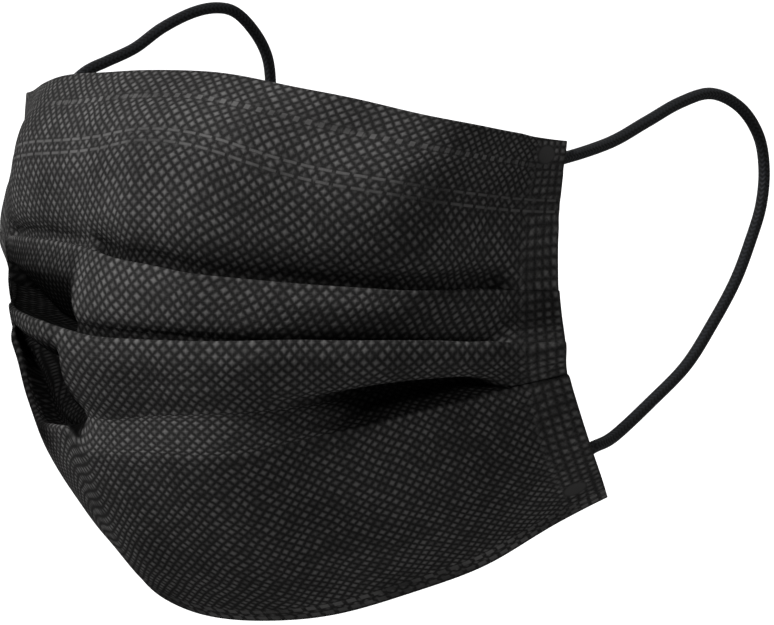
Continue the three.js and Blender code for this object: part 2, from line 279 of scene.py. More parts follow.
def cloth_path(form):
    """Corners (down, out) of the middle of the cloth for every column, from the inner end of the top hem to the
    inner end of the bottom hem, and the numbers of the corners at the folded edges and at the creases."""
    s = form.across
    free = freedom(s)
    layer = mix(BAND_LAYER, LAYER, free)
    bottom = form.down_to(6)
    folds = read_folds(s)
    zero = 0 * s

    def buckled(begins):
        """1 where the wearer's right cheek has buckled, from `begins` past the centre line on."""
        return smooth((-s - begins) / 3.6)

    # pleats: where each folded edge stands, how far out it lies and how deep its pocket is
    cheek = buckled(19.0)
    near_side = smooth((s - 8) / 40)
    far_end = smooth((-s - 34) / 30)
    first = folded_pleat(
        edge=form.down_to(2) + folds["first"],
        hidden=PLEATS_HIDE[0] - 3.4 * cheek,
        front=free * (0.4 - 0.9 * far_end),
        back=-free * mix(3.4, 2.6, near_side) * (1 - 0.5 * cheek),
        layer=layer,
    )
    second = folded_pleat(
        edge=form.down_to(3) + folds["second"],
        hidden=PLEATS_HIDE[1] - cheek,
        front=free * (0.4 + 0.4 * cheek - 2.4 * far_end),
        back=-free * (mix(3.2, 4.6, near_side) + BUCKLE_DEPTHS[0] * cheek),
        layer=layer,
    )
    third_section = form.down_to(4)
    third = opened_pleat(
        edge=third_section + folds["third"],
        crease=third_section + folds["crease"],
        depth=folds["depth"] * mix(0.4, 1, free),
        front=0.3 * free,
        sunk=smooth((s - 26) / 26),
        layer=mix(0.4, LAYER, free),
    )

    # top hem: up the turned-in layer behind the wire, over the top edge and down the front past the weld lines
    hem = -mix(0.3, LAYER, free)
    channel = smooth((50 - np.abs(s)) / 8)  # the wire lies here, between the layers of the hem
    top = [
        (19.0, hem),
        (18.0, hem),
        (16.5, mix(hem, -1.75, channel)),
        (15.0, mix(hem, -1.95, channel)),
        (12.0, mix(hem, -1.95, channel)),
        (10.5, mix(hem, -1.75, channel)),
        (8.5, hem),
        (6.5, hem),
        (3.0, hem),
        (0.8, hem),
        (-0.1, hem),
        (-0.1, zero),
        (0.8, zero),
        (3.0, zero + 0.05),
        (5.0, zero + 0.05),
        (7.0, zero - 0.1),
        (8.5, zero - 0.15),
        (10.0, zero + 0.05 * channel),
        (12.0, zero + 0.1 * channel),
        (14.0, zero + 0.1 * channel),
        (16.0, zero),
        (17.5, zero - 0.15),
        (19.0, zero),
        (20.5, zero - 0.15),
        (22.5, zero + 0.1),
    ]
    corners = [(down + zero, out) for down, out in top]
    marks = {"edge_0": 11}

    def leave(start, w, by):
        """The depth that a panel starts with, given up at the share `by` of the way down."""
        return start[1] * (1 - smooth(w / by))

    def curl(w, begins):
        """How much of its last depth a panel has taken: 0 until `begins`, then a parabola that ends at 1."""
        return np.clip((w - begins) / (1 - begins), 0, 1) ** 2

    def add_pleat(number, pleat):
        """Adds the pleat's corners and notes the numbers of its crease and its folded edge."""
        marks[f"crease_{number}"] = len(corners) + 2
        marks[f"edge_{number}"] = len(corners) + 6
        corners.extend(pleat)

    hem_end = corners[-1]

    def top_panel(w):
        """Flat, then curled in behind the first fold."""
        return leave(hem_end, w, 0.3) + first[0][1] * curl(w, 0.55)

    corners += between(hem_end, first[0], (0.12, 0.26, 0.4, 0.54, 0.66, 0.76, 0.85, 0.93), top_panel)
    add_pleat(1, first)

    def second_panel(w):
        """Flat, then curled in behind the next fold; the buckled cheek sinks from its middle on."""
        sinks = BUCKLE_DEPTHS[0] * free
        ends = leave(first[-1], w, 0.6) + (second[0][1] + sinks * cheek) * curl(w, 0.15)
        return ends - sinks * buckled(mix(23.0, 18.0, w)) * smooth((w - 0.3) / 0.62)

    corners += between(first[-1], second[0], (0.1, 0.2, 0.3, 0.4, 0.5, 0.6, 0.7, 0.82, 0.93), second_panel)
    add_pleat(2, second)
    ridge = np.interp(-s, (0, 20, 30, 42, 88), (0.34, 0.32, 0.2, 0.12, 0.1))  # where the buckled cheek dives under it

    def third_panel(w):
        """Flat, then curled in towards the crease of the opened pleat; the buckled cheek dives under the fold."""
        sag = mix(curl(w, 0.3), 0.22 * w + 0.78 * curl(w, 0.3) ** 1.7, near_side)
        ends = leave(second[-1], w, 0.6) + third[0][1] * sag
        dive = 0.25 * np.clip(w / ridge, 0, 1) + 0.75 * smooth((w - ridge) / 0.16)
        sinks = BUCKLE_DEPTHS[1] * free * mix(0.6, 1, smooth((70 + s) / 16))
        return ends - sinks * buckled(mix(17.0, 23.5, w)) * dive * smooth((1.04 - w) / 0.3)

    shares = (0.05, 0.1, 0.15, 0.2, 0.26, 0.32, 0.39, 0.46, 0.54, 0.64, 0.75, 0.86, 0.95)
    corners += between(second[-1], third[0], shares, third_panel)
    add_pleat(3, third)

    def lower_panel(w):
        """From the third fold down onto the form."""
        return leave(third[-1], w, 0.5)

    # the bottom hem turns in behind the cloth
    hem_start = (bottom - 5.5, zero)
    corners += between(third[-1], hem_start, (0.1, 0.22, 0.36, 0.5, 0.64, 0.78, 0.9), lower_panel)
    marks["edge_4"] = len(corners) + 5
    corners += [
        hem_start,
        (bottom - 4.2, zero - 0.1),
        (bottom - 2.6, zero),
        (bottom - 0.9, zero),
        (bottom + 0.1, zero),
        (bottom + 0.1, hem),
        (bottom - 0.9, hem),
        (bottom - 2.6, hem),
        (bottom - 4.2, hem - 0.05),
        (bottom - 5.8, hem),
    ]
    return np.array([[down + zero, out + zero] for down, out in corners]).transpose(0, 2, 1), marks


def rounded(corners, per_corner):
    """A cubic B-spline down the corners [corner, column, 2], with per_corner rows for each corner. Its basis is
    ((1-t)^3, 3t^3 - 6t^2 + 4, -3t^3 + 3t^2 + 3t + 1, t^3) / 6, and each end is reached by an extra corner."""
    extended = np.concatenate([[2 * corners[0] - corners[1]], corners, [2 * corners[-1] - corners[-2]]])
    at = np.linspace(0, len(corners) - 1, (len(corners) - 1) * per_corner + 1)
    i = np.minimum(at.astype(int), len(corners) - 2)
    t = at - i
    basis = np.array([(1 - t) ** 3, 3 * t**3 - 6 * t**2 + 4, -3 * t**3 + 3 * t**2 + 3 * t + 1, t**3]) / 6
    extended = np.concatenate([extended, extended[-1:]])
    return sum(basis[k][:, None, None] * extended[i + k] for k in range(4))


# ---- meshes -----------------------------------------------------------------------------------------------------
def mesh_object(name, points, faces, maps=None):
    """A smooth-shaded mesh object from points in millimetres and a list of face arrays. Each named map holds a uv
    for each point."""
    sizes = np.concatenate([np.full(len(part), part.shape[1]) for part in faces])
    corners = np.concatenate([part.ravel() for part in faces])
    mesh = bpy.data.meshes.new(name)
    mesh.vertices.add(len(points))
    mesh.vertices.foreach_set("co", (np.asarray(points) * MM).astype(np.float32).ravel())
    mesh.loops.add(len(corners))
    mesh.loops.foreach_set("vertex_index", corners.astype(np.int32))
    mesh.polygons.add(len(sizes))
    mesh.polygons.foreach_set("loop_start", (np.cumsum(sizes) - sizes).astype(np.int32))
    for map_name, uv in (maps or {}).items():
        mesh.uv_layers.new(name=map_name).data.foreach_set("uv", uv[corners].astype(np.float32).ravel())
    mesh.update(calc_edges=True)
    mesh.validate()
    mesh.polygons.foreach_set("use_smooth", np.ones(len(mesh.polygons), bool))
    obj = bpy.data.objects.new(name, mesh)
    bpy.context.scene.collection.objects.link(obj)
    return obj


def grid_faces(rows, columns, wrap=False):
    """Quads of a grid [row, column], closed round its columns when wrap is set."""
    i, j = np.meshgrid(np.arange(rows - 1), np.arange(columns if wrap else columns - 1), indexing="ij")
    k = (j + 1) % columns
    above, below = i * columns, (i + 1) * columns
    return np.stack([above + j, below + j, below + k, above + k], -1).reshape(-1, 4)


def ripple(across, down):
    """How far the free cloth strays from the form: three slow waves that cross each other, and small puckers that
    run in from the side bands and die out."""
    waves = 0.16 * np.sin(across / 9.5 + down / 17 + 0.8) + 0.12 * np.sin(across / 6.1 - down / 11 + 2.1)
    waves += 0.08 * np.sin(across / 3.7 + down / 6.3)
    from_band = np.clip(HALF_WIDTH - BAND - np.abs(across), 0, None)
    pucker = 0.22 * np.sin(down / 2.3 + 0.05 * across) * np.exp(-from_band / 9)
    return (waves + pucker) * freedom(across)


COLUMNS = 158  # quads across the panel
ROWS = 3  # rows of quads for each corner of the cloth's path
CLOTH_MAP = 260.0  # millimetres of flat cloth to one unit of its UV map
MAP_START = 40.0  # flat cloth above the top edge that the map leaves room for
BAND_PRESSED = 0.42  # thickness of the welded bands as a share of the free cloth's


def column_places():
    """Where the columns stand: closer together where a density 1 + 1.6 bell + 0.9 bell is high, at the edge of the
    buckled cheek and beside the side bands."""
    spread = np.linspace(-HALF_WIDTH, HALF_WIDTH, 2001)
    density = 1 + 1.6 * bell(spread, -21.5, 4) + 0.9 * bell(np.abs(spread), 76, 4)
    share = running_sum(0.5 * (density[1:] + density[:-1]))
    return np.interp(np.linspace(0, share[-1], COLUMNS + 1), share, spread)


def down_flat_cloth(run, marks):
    """How far down the flat cloth each point lies, from its run down the column. The lattice runs straight along the
    top edge and each folded edge, what is left over is taken up inside the pleats, and it keeps its own size down
    the lower panel."""
    rows = np.arange(len(run))
    fixed, shifts = [], []
    for edge in range(5):
        row = ROWS * marks[f"edge_{edge}"]
        if 0 < edge < 4:
            fixed.append(ROWS * marks[f"crease_{edge}"])
            shifts.append(shifts[-1])
        fixed.append(row)
        shifts.append(run[row].mean() - run[row] if edge < 4 else shifts[-1])
    fixed, shifts = np.array(fixed), np.array(shifts)
    k = np.clip(np.searchsorted(fixed, rows, side="right") - 1, 0, len(fixed) - 2)
    t = np.clip((rows - fixed[k]) / (fixed[k + 1] - fixed[k]), 0, 1)[:, None]
    down = run + mix(shifts[k], shifts[k + 1], t)
    return down - down[ROWS * marks["edge_0"]].mean()


def painted_shade_mask(across, out, marks):
    """Painted shade: how much the cloth's colour is darkened to stand in for shade, from 0 on the open cloth to 1 at
    the bottom of a pocket, where little light comes: the greatest of five masks. A mask is a product of smooth
    steps, across the cloth and in rows down from a crease or a folded edge. The masks paint shade behind the form,
    in the buckled cheek's hollows, on the far cheek's lip and ridge, and in the opened third pleat's pocket."""
    row = np.arange(len(out))[:, None]
    below_first = row - ROWS * marks["edge_1"]
    above_third = ROWS * marks["edge_3"] - row
    from_second = np.abs(row - ROWS * (marks["edge_2"] + 1))
    below_crease = row - ROWS * (marks["crease_3"] - 3)
    # The masks of painted shade: behind, for cloth far behind the form; hollows, in the buckled cheek; lip and ridge,
    # on the far cheek's folded edges, which lie open to the light; pocket, in the opened third pleat.
    behind = smooth((-out - 1.0) / 4.5) * freedom(across)
    hollows = smooth((-across - 17.5) / 4) * smooth(below_first / 12) * smooth(above_third / 3)
    hollows = hollows * smooth((3.6 - out) / 5.0) * smooth((80 + across) / 4)
    far = smooth((-across - 26) / 12) * smooth((80 + across) / 6)
    lip = 0.75 * far * smooth(1.6 - np.abs(above_third + 3) / (3 * ROWS))
    ridge = 0.45 * far * smooth(1.6 - from_second / (5 * ROWS))
    pocket = smooth((across - 30) / 20) * smooth((75 - across) / 4) * smooth((above_third - 1) / 2)
    pocket = pocket * smooth(below_crease / (2 * ROWS))
    return np.maximum.reduce([behind, hollows, lip, ridge, pocket])


def make_panel():
    """The cloth: the rounded path of every column placed on the form, in one grid of rows down and columns across.
    One UV map holds the place on the flat cloth, across from the wearer's right edge and down from the top edge. The
    other holds the height above the bottom edge instead. Returns the panel and the mean length of its columns."""
    across = column_places()
    form = Form(across)
    corners, marks = cloth_path(form)
    path = rounded(corners, ROWS)
    points = form.place(path[..., 0], path[..., 1] + ripple(across[None], path[..., 0]))
    run = run_along(points)
    heights = {"flat_cloth": down_flat_cloth(run, marks) + MAP_START, "pressed_band": form.down_to(6) - path[..., 0]}
    maps = {}
    for name, height in heights.items():
        maps[name] = np.stack(np.broadcast_arrays(across + HALF_WIDTH, height), -1).reshape(-1, 2) / CLOTH_MAP
    obj = mesh_object("cloth_panel", points.reshape(-1, 3), [grid_faces(*run.shape)], maps)
    # Painted shade: a point attribute from 0 to 1 that darkens the cloth's colour where shade would fall.
    painted_shade = painted_shade_mask(across, path[..., 1], marks)
    obj.data.attributes.new("painted_shade", "FLOAT", "POINT").data.foreach_set("value", painted_shade.astype(np.float32).ravel())
    thin = obj.vertex_groups.new(name="plies")
    weights = mix(1.0, BAND_PRESSED, 1 - freedom(across))
    rows = np.arange(len(run))
    for column, weight in enumerate(weights):
        thin.add((column + len(across) * rows).tolist(), float(weight), "REPLACE")
    return obj, float(run[-1].mean())


panel, FLAT_LENGTH = make_panel()
wall = panel.modifiers.new("plies", "SOLIDIFY")
wall.thickness = PLIES * MM
wall.offset = 0
wall.vertex_group = "plies"
wall.use_even_offset = False
wall.material_offset = 1
wall.material_offset_rim = 0

# ---- ear loops --------------------------------------------------------------------------------------------------
LOOP_SIDES = 18  # round a loop
LOOP_RINGS = 260  # along a loop, apart from its round ends
ROUND_END = (0.0, 0.03, 0.1, 0.22, 0.4, 0.65)  # where the rings of a round end stand, as shares of the loop's radius
LOOP_GAP = 0.3  # between the cloth and a loop's end that lies on it
ROUTE_POINTS = 1500  # along a loop's route
# Each end lies on the inner face of its band. `top` and `bottom` give how far from the top or the bottom edge it is
# welded, and how far from it the loop leaves over the side edge. `route` holds the points between.
LOOPS = {
    "left": {
        "side": 1,
        "top": (3.5, 4.2),
        "bottom": (12.5, 23),
        "route": [
            (53.5, 74, -13.5),
            (56, 86.5, -11),
            (58.5, 98, -8.5),
            (61, 108.5, -8),
            (64, 117, -12),
            (66.5, 121.5, -18.5),
            (68, 121.5, -25.5),
            (69, 118, -32.5),
            (69, 113, -39),
            (69, 105, -46.5),
            (68, 95.5, -54),
            (67, 85, -60.5),
            (65, 72.5, -65.5),
            (62.5, 59.5, -70.3),
        ],
    },
    "right": {
        "side": -1,
        "top": (6, 4),
        "bottom": (12.5, 16),
        "route": [
            (-62, 53, -9.5),
            (-60, 58, -6.5),
            (-58, 63, -5),
            (-55.5, 70, -3),
            (-53, 77, 0.5),
            (-50, 84.5, 3),
            (-47.5, 90.5, 3.5),
            (-45.5, 95.5, 2),
            (-43.5, 100, -2.5),
            (-42, 103, -8),
            (-41.5, 104, -14),
            (-41.5, 103.5, -21),
            (-42.5, 101.5, -29),
            (-44.5, 97, -37.5),
            (-47, 90.5, -45.5),
            (-50, 82.5, -53),
            (-53.5, 73, -60),
            (-57.5, 63, -66),
        ],
    },
}


def catmull(points, per_step):
    """A smooth curve through the points: cubic pieces whose tangent at each point is half the step between its
    neighbours."""
    extended = np.concatenate([[2 * points[0] - points[1]], points, [2 * points[-1] - points[-2]]])
    at = np.linspace(0, len(points) - 1, (len(points) - 1) * per_step + 1)
    i = np.minimum(at.astype(int), len(points) - 2)
    t = (at - i)[:, None]
    p0, p1, p2, p3 = (extended[i + k] for k in range(4))
    square, cube = 2 * p0 - 5 * p1 + 4 * p2 - p3, 3 * p1 - p0 - 3 * p2 + p3
    return 0.5 * (2 * p1 + (p2 - p0) * t + square * t**2 + cube * t**3)


def along_curve(curve, at):
    """The points of a polyline at the distances `at` along it."""
    run = run_along(curve)
    return np.stack([np.interp(at, run, curve[:, k]) for k in range(3)], -1)


def evenly(curve, count):
    """`count` points at equal distances along a polyline."""
    return along_curve(curve, np.linspace(0, run_along(curve)[-1], count))


def loop_route(loop):
    """The cord's middle: along the inner face of the band to the side edge, round, and back along the band."""
    stations = loop["side"] * np.array([HALF_WIDTH - BAND + 1, HALF_WIDTH - 5.5, HALF_WIDTH])
    order = np.argsort(stations)
    form = Form(stations[order])
    share = np.array([0, 0.5, 1])[order]
    inside = -LOOP_GAP - PLIES / 2 - CORD / 2
    top = form.place(mix(*loop["top"], share)[None], np.full((1, 3), inside))[0]
    low = form.place((form.down_to(6) - mix(*loop["bottom"], share))[None], np.full((1, 3), inside))[0]
    back = np.argsort(order)
    return np.concatenate([top[back], np.array(loop["route"], float), low[back][::-1]])


def tube(curve, radius, sides):
    """Rings of points round a polyline. Each ring's first axis is the one before it, laid into the new ring's plane,
    and the radius shrinks to a round end: r sqrt(1 - ((r - d) / r)^2) at the distance d < r from an end."""
    along = np.gradient(curve, axis=0)
    along /= np.linalg.norm(along, axis=1, keepdims=True)
    axis = np.cross(along[0], (0, 0, 1))
    axes = []
    for direction in along:
        axis = axis - direction * axis.dot(direction)
        axis = axis / np.linalg.norm(axis)
        axes.append(axis)
    axes = np.array(axes)
    other = np.cross(along, axes)
    run = run_along(curve)
    to_end = np.clip(np.minimum(run, run[-1] - run), 0, radius)
    size = radius * np.sqrt(np.clip(1 - ((radius - to_end) / radius) ** 2, 0, 1))
    angle = np.arange(sides) * 2 * np.pi / sides
    ring = axes[:, None] * np.cos(angle)[None, :, None] + other[:, None] * np.sin(angle)[None, :, None]
    return curve[:, None] + size[:, None, None] * ring, run


def make_loop(name, loop):
    """One elastic loop: a tube along its route with a pole at each end, and a UV map that holds the millimetres
    along it and round it."""
    radius, sides = CORD / 2, LOOP_SIDES
    route = evenly(catmull(loop_route(loop), 16), ROUTE_POINTS)
    length = float(run_along(route)[-1])
    end = radius * np.array(ROUND_END)
    at = np.concatenate([end, np.linspace(radius, length - radius, LOOP_RINGS), length - end[::-1]])
    curve = along_curve(route, at)
    rings, along = tube(curve, radius, sides)
    rings, along = rings[1:-1], along[1:-1]
    points = np.concatenate([rings.reshape(-1, 3), curve[:1], curve[-1:]])
    count = len(rings) * sides
    j = np.arange(sides)
    k = (j + 1) % sides
    first = np.stack([np.full(sides, count), j, k], -1)
    last = np.stack([np.full(sides, count + 1), count - sides + k, count - sides + j], -1)
    around = np.broadcast_to(np.abs(2 * j / sides - 1) * np.pi * radius, (len(rings), sides))
    uv = np.stack([np.broadcast_to(along[:, None], around.shape), around], -1).reshape(-1, 2)
    uv = np.concatenate([uv, [(0, 0), (length, 0)]]) / CLOTH_MAP
    faces = [grid_faces(len(rings), sides, wrap=True), first, last]
    obj = mesh_object("elastic_loop_" + name, points, faces, {"flat_cloth": uv})
    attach(obj, "root")
    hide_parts("ear_loop_" + name)
    return obj


loops = [make_loop(name, loop) for name, loop in LOOPS.items()]

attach(panel, "root")
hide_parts("mask_panel")


# ---- finishes ---------------------------------------------------------------------------------------------------
class Graph:
    """Short names for the nodes of one tree. A value is a number, a colour, a vector or another node's socket."""

    def __init__(self, tree):
        self.tree = tree

    def add(self, kind, out=0, inputs=None, **settings):
        """A new node of that kind with its settings and inputs, given as its output number `out`."""
        node = self.tree.nodes.new(kind)
        for name, value in settings.items():
            setattr(node, name, value)
        for name, value in (inputs or {}).items():
            self.put(node.inputs[name], value)
        return node.outputs[out]

    def put(self, socket, value):
        """Links a socket to another node's output, or sets its constant."""
        if isinstance(value, bpy.types.NodeSocket):
            self.tree.links.new(value, socket)
        else:
            socket.default_value = value

    def sum(self, kind, *values, clamp=False):
        """Math node of that operation."""
        return self.add("ShaderNodeMath", operation=kind, use_clamp=clamp, inputs=dict(enumerate(values)))

    def vector(self, kind, *values):
        """Vector math node of that operation."""
        return self.add("ShaderNodeVectorMath", operation=kind, inputs=dict(enumerate(values)))

    def scaled(self, vector, factor):
        """The vector or colour times a number."""
        return self.add("ShaderNodeVectorMath", operation="SCALE", inputs={0: vector, "Scale": factor})

    def step(self, value, start, end, low=0.0, high=1.0):
        """Smooth step from `low` at `start` to `high` at `end`."""
        spans = {"Value": value, "From Min": start, "From Max": end, "To Min": low, "To Max": high}
        return self.add("ShaderNodeMapRange", interpolation_type="SMOOTHSTEP", inputs=spans)

    def colours(self, factor, a, b):
        """Colour a where the factor is 0 and b where it is 1."""
        node = self.tree.nodes.new("ShaderNodeMix")
        node.data_type = "RGBA"
        for name, value in ((0, factor), (6, a), (7, b)):
            self.put(node.inputs[name], value)
        return node.outputs[2]

    def split(self, vector):
        """The x and y of a vector."""
        node = self.tree.nodes.new("ShaderNodeSeparateXYZ")
        self.put(node.inputs[0], vector)
        return node.outputs[0], node.outputs[1]

    def join(self, x, y, z=0.0):
        """A vector from its parts."""
        return self.add("ShaderNodeCombineXYZ", inputs={0: x, 1: y, 2: z})

    def noise(self, place, scale, detail):
        """Cloudy noise from 0 to 1."""
        return self.add("ShaderNodeTexNoise", inputs={"Vector": place, "Scale": scale, "Detail": detail})

    def bump(self, height, relief, strength=1.0):
        """The normal bent by a height from 0 to 1 that stands `relief` millimetres high."""
        return self.add("ShaderNodeBump", inputs={"Strength": strength, "Distance": relief * MM, "Height": height})


def new_group(name, inputs, outputs):
    """A shader node group with the named inputs and outputs, and its graph, input sockets and output node."""
    tree = bpy.data.node_groups.new(name, "ShaderNodeTree")
    for label, kind in inputs.items():
        tree.interface.new_socket(label, in_out="INPUT", socket_type="NodeSocket" + kind)
    for label, kind in outputs.items():
        tree.interface.new_socket(label, in_out="OUTPUT", socket_type="NodeSocket" + kind)
    source = tree.nodes.new("NodeGroupInput").outputs
    target = tree.nodes.new("NodeGroupOutput").inputs
    return tree, Graph(tree), source, target


def use_group(graph, tree, **values):
    """Places the group in a material and gives its outputs by name."""
    node = graph.tree.nodes.new("ShaderNodeGroup")
    node.node_tree = tree
    for name, value in values.items():
        graph.put(node.inputs[name.replace("_", " ")], value)
    return node.outputs


def lattice_group():
    """Diamond lattice pressed into the cloth: grooves where x / width + y / height or x / width - y / height is a
    whole number, and a pillow in each cell, a little different from its neighbours."""
    names = {"Place": "Vector", "Width": "Float", "Height": "Float", "Groove": "Float"}
    results = {"Pillow": "Float", "Grooves": "Float", "Cell": "Float"}
    tree, g, source, target = new_group("diamond_lattice", names, results)
    slow_noise = {"Vector": source["Place"], "Scale": 0.12, "Detail": 1.0}
    wander = g.vector("SUBTRACT", g.add("ShaderNodeTexNoise", out=1, inputs=slow_noise), (0.5, 0.5, 0.5))
    x, y = g.split(g.vector("ADD", source["Place"], g.scaled(wander, 1.6)))
    x, y = g.sum("DIVIDE", x, source["Width"]), g.sum("DIVIDE", y, source["Height"])
    p, q = g.sum("ADD", x, y), g.sum("SUBTRACT", x, y)
    near_p = g.sum("MULTIPLY", g.sum("PINGPONG", p, 0.5), 2.0)
    near_q = g.sum("MULTIPLY", g.sum("PINGPONG", q, 0.5), 2.0)
    nearest = g.sum("SMOOTH_MIN", near_p, near_q, 0.25)
    number = g.join(g.sum("FLOOR", p), g.sum("FLOOR", q))
    cell = g.add("ShaderNodeTexWhiteNoise", noise_dimensions="2D", inputs={"Vector": number})
    g.put(target["Grooves"], g.step(nearest, source["Groove"], g.sum("MULTIPLY", source["Groove"], 0.25)))
    g.put(target["Pillow"], g.step(nearest, 0.06, 1.05))
    g.put(target["Cell"], cell)
    return tree


def weld_row_group():
    """Dashes of a hot weld in a row across the cloth: `Length` of every `Pitch`, `Width` high, at `Row` down."""
    names = {"Place": "Vector", "Row": "Float", "Pitch": "Float", "Length": "Float", "Width": "Float"}
    tree, g, source, target = new_group("weld_row", names, {"Mask": "Float", "Seam": "Float"})
    x, y = g.split(source["Place"])
    off = g.sum("ABSOLUTE", g.sum("SUBTRACT", y, source["Row"]))
    half = g.sum("MULTIPLY", source["Width"], 0.5)
    on_row = g.step(off, g.sum("ADD", half, 0.16), g.sum("SUBTRACT", half, 0.16))
    beat = g.sum("PINGPONG", x, g.sum("MULTIPLY", source["Pitch"], 0.5))
    length = g.sum("MULTIPLY", source["Length"], 0.5)
    on_dash = g.step(beat, g.sum("ADD", length, 0.14), g.sum("SUBTRACT", length, 0.14))
    g.put(target["Mask"], g.sum("MULTIPLY", on_row, on_dash))
    g.put(target["Seam"], g.step(off, g.sum("ADD", half, 0.9), half))
    return tree


def fibre_group():
    """Laid fibres: fine streaks in two crossing directions, and slow clouds where more of them lie."""
    tree, g, source, target = new_group("laid_fibres", {"Place": "Vector"}, {"Streaks": "Float", "Clouds": "Float"})
    x, y = g.split(source["Place"])
    one = g.noise(g.join(g.sum("ADD", x, g.sum("MULTIPLY", y, 0.6)), g.sum("MULTIPLY", y, 4.0)), 1.3, 2.0)
    two = g.noise(g.join(g.sum("MULTIPLY", x, 4.0), g.sum("SUBTRACT", y, g.sum("MULTIPLY", x, 0.5)), 7.0), 1.3, 2.0)
    g.put(target["Streaks"], g.sum("MULTIPLY", g.sum("ADD", one, two), 0.5))
    g.put(target["Clouds"], g.noise(source["Place"], 0.055, 3.0))
    return tree


LATTICE, WELD_ROW, FIBRES = lattice_group(), weld_row_group(), fibre_group()


def new_material(name, **constants):
    """A material with its Principled BSDF's constant sockets set, and its graph and shader."""
    material = bpy.data.materials.new(name)
    material.use_nodes = True
    shader = material.node_tree.nodes["Principled BSDF"]
    for label, value in constants.items():
        shader.inputs[label.replace("_", " ")].default_value = value
    return material, Graph(material.node_tree), shader.inputs


def flat_place(g):
    """The place on the flat cloth or along a cord, in millimetres."""
    scaled = g.scaled(g.add("ShaderNodeUVMap", uv_map="flat_cloth"), CLOTH_MAP)
    return g.vector("SUBTRACT", scaled, (0, MAP_START, 0))


def grey(level, warmth=0.0):
    """A grey whose red is raised by `warmth` and whose blue is lowered by half of it."""
    return (level * (1 + warmth), level, level * (1 - 0.5 * warmth), 1)


# Patterns on the cloth, in millimetres.
CELL = (2.24, 2.32)  # width and height of a lattice diamond
GROOVE = 0.3  # how far a groove reaches into its diamond, as a share of it
BAND_DOT = 2.2  # from one pressed square of the side bands to the next
HEM_ROWS = (
    # row below the top edge, pitch, length of a dash, width
    (8.0, 2.5, 1.1, 1.3),
    (16.9, 3.4, 2.6, 0.55),
    (19.4, 3.4, 2.6, 0.55),
)
BOTTOM_ROWS = ((1.7, 2.7, 1.8, 1.5), (4.4, 2.7, 1.8, 1.5))  # the same, above the bottom edge
DISC_IN, DISC_UP, DISC_DOWN = 6.6, 12.5, 4.6  # a pressed disc from the side edge, the bottom edge and the top edge
DISC = (3.3, 2.1)  # radii where a disc begins and where it is fully pressed


